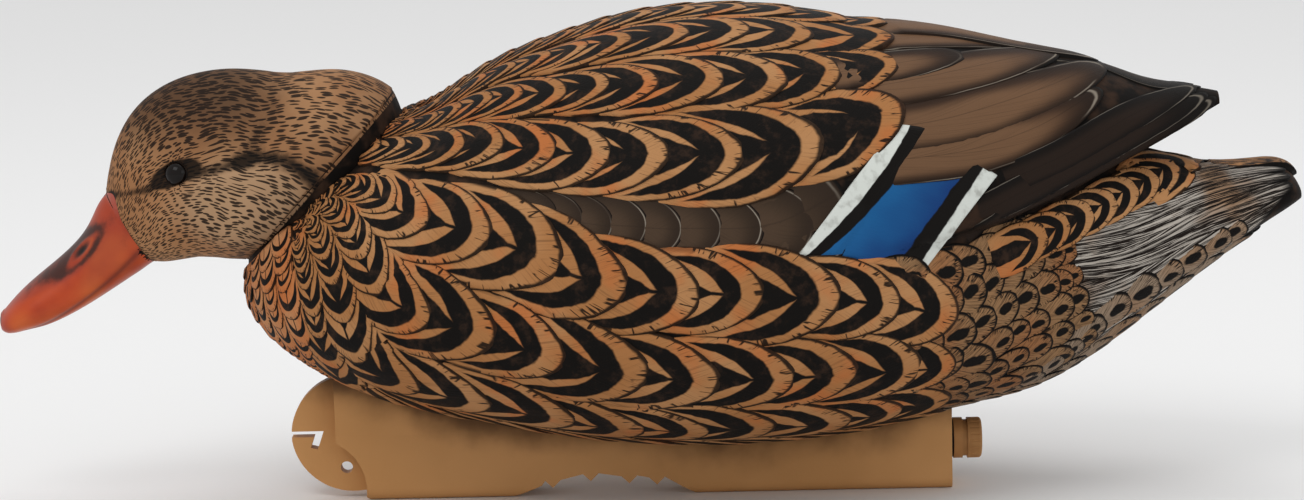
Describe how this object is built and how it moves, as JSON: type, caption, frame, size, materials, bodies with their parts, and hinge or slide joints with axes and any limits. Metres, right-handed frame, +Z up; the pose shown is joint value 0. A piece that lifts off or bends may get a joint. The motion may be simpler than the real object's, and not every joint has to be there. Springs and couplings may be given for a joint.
{
  "type": "duck decoy",
  "caption": "Floating hen mallard decoy: hollow body with folded wings, head that turns on a ball neck, sand-weighted keel with a line slot and a screw-in filler plug.",
  "frame": {"origin": "under the middle of the decoy, on the surface the keel stands on", "axes": "+X from the bill to the tail, +Y to the bird's right, +Z up"},
  "size_m": [0.4306, 0.1648, 0.1611],
  "materials": {
    "moulded_shell": "matte hand-painted plumage",
    "keel_plastic": "matte, as moulded",
    "plug_plastic": "matte, as moulded",
    "eye": "gloss",
    "nylon": "natural",
    "seal_rubber": "matte",
    "sand": "dry sand",
    "screw_steel": "stainless",
    "insert_brass": "plain"
  },
  "bodies": {
    "hull": {"body_shell": "moulded_shell", "neck_bushing": "nylon", "neck_seal": "seal_rubber", "keel_shell": "keel_plastic", "ballast_sand": "sand", "keel_screws": "screw_steel", "screw_washers": "seal_rubber", "screw_inserts": "insert_brass"},
    "head": {"head_shell": "moulded_shell", "eye_left": "eye", "eye_right": "eye", "neck_spigot": "nylon"},
    "plug_carriage": {"plug_seal": "seal_rubber"},
    "plug": {"keel_plug": "plug_plastic"}
  },
  "joints": [
    {"name": "head_turn", "type": "hinge", "parent": "hull", "child": "head", "pos_m": [-0.11773, 0, 0.11759], "axis": [0.7356, 0, -0.6774], "range_deg": [-40, 40]},
    {"name": "plug_travel", "type": "slide", "parent": "hull", "child": "plug_carriage", "axis": [1, 0, 0], "range_m": [0, 0.01]},
    {"name": "plug_turn", "type": "hinge", "parent": "plug_carriage", "child": "plug", "pos_m": [0.1, 0, 0.0154], "axis": [1, 0, 0], "range_deg": [0, 1800]}
  ],
  "couplings": [
    {"joint": "plug_turn", "follows": "plug_travel", "rad_per_m": 3141.6}
  ]
}
